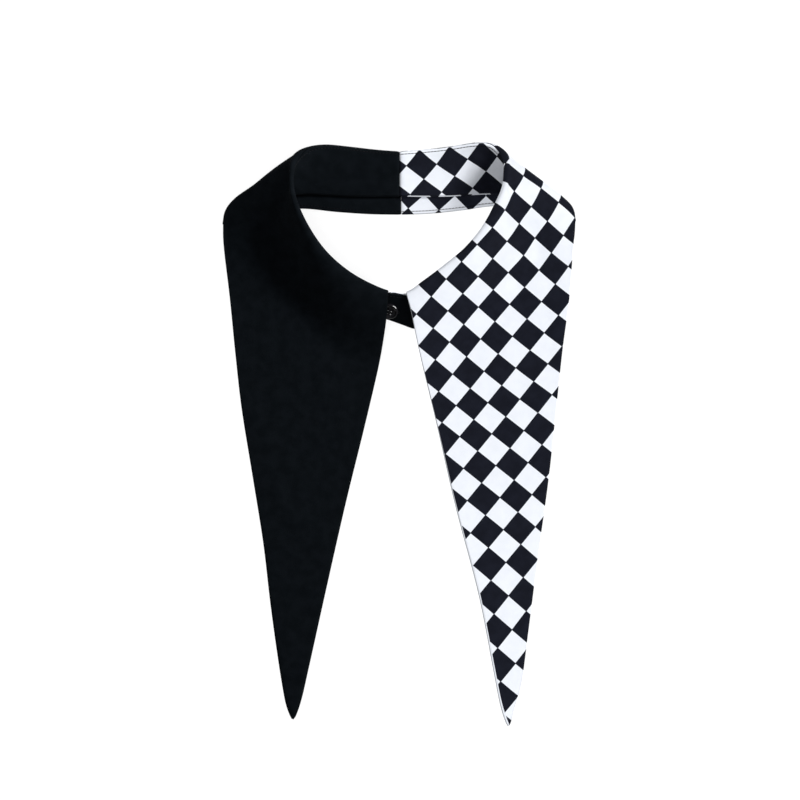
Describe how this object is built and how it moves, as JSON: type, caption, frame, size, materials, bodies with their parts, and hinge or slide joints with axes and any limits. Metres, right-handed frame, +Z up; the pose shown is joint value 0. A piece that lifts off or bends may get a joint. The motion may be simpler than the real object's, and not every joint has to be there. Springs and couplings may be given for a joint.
{
  "type": "detachable shirt collar",
  "caption": "Detachable collar with a stand and two long pointed falls, one half black and the other black and white checked, buttoned at the front and lying flat.",
  "frame": {"origin": "on the table, under the middle of the whole collar", "axes": "+Z up from the table, +Y from the points of the falls towards the back of the neck, +X towards the checked half"},
  "size_m": [0.2298, 0.376, 0.026],
  "materials": {
    "black_cloth": "plain woven cotton blend, slightly lustrous",
    "checked_cloth": "plain woven cotton blend printed with black and white squares of about 15 mm",
    "button_plastic": "glossy moulded shirt button with four holes"
  },
  "bodies": {
    "root": {"stand_black": "black_cloth", "stand_check": "checked_cloth", "fall_black": "black_cloth", "fall_check": "checked_cloth", "button": "button_plastic"}
  },
  "joints": []
}
